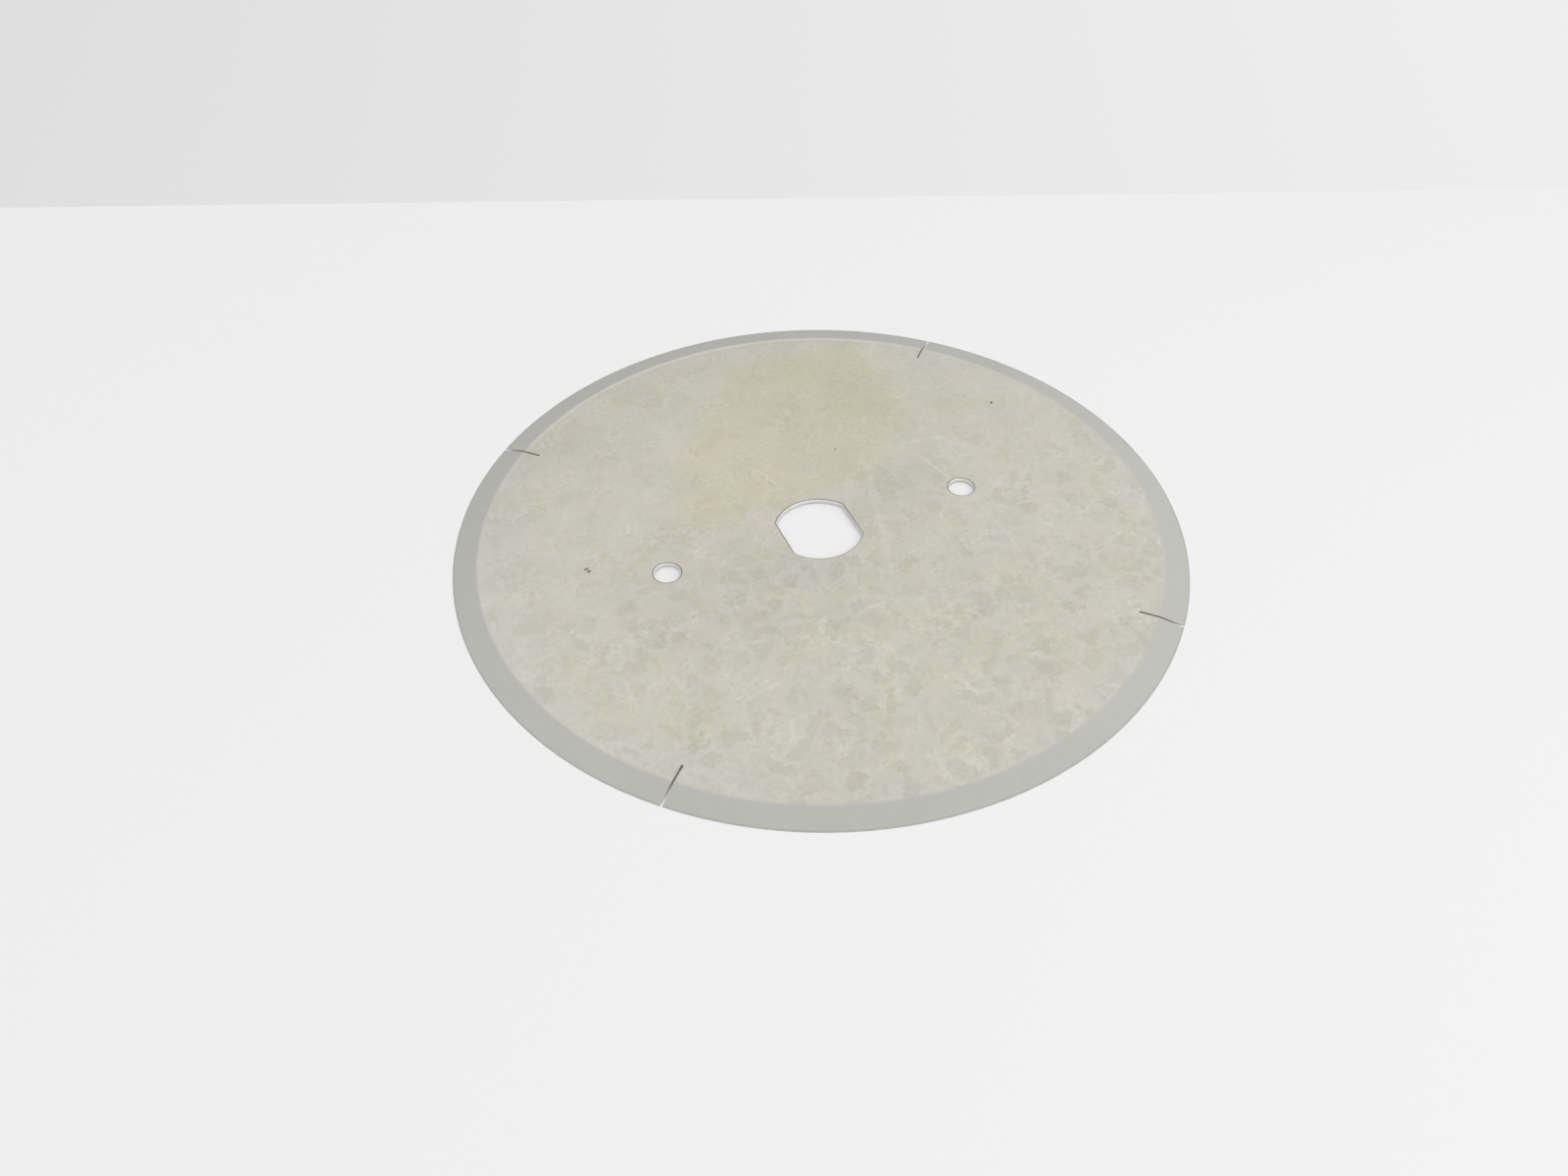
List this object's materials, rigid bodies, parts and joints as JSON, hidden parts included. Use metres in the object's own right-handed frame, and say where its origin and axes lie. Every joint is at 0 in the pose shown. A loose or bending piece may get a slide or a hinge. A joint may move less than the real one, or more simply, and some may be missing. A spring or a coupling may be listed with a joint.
{
  "type": "circular knife",
  "caption": "Thin flat circular knife with a ground cutting edge, narrow slots at the rim, a flat-sided centre bore and holes for drive pins.",
  "frame": {"origin": "centre of the back, on the axis of the bore", "axes": "+Z along the disc's axis, out of the ground face; +X through the centre of one drive pin hole"},
  "size_m": [0.25, 0.25, 0.0015],
  "materials": {
    "steel": "dull polished knife steel with a mottled oil film, greyer and smoother on the ground bevel"
  },
  "bodies": {
    "root": {"blade": "steel"}
  },
  "joints": []
}
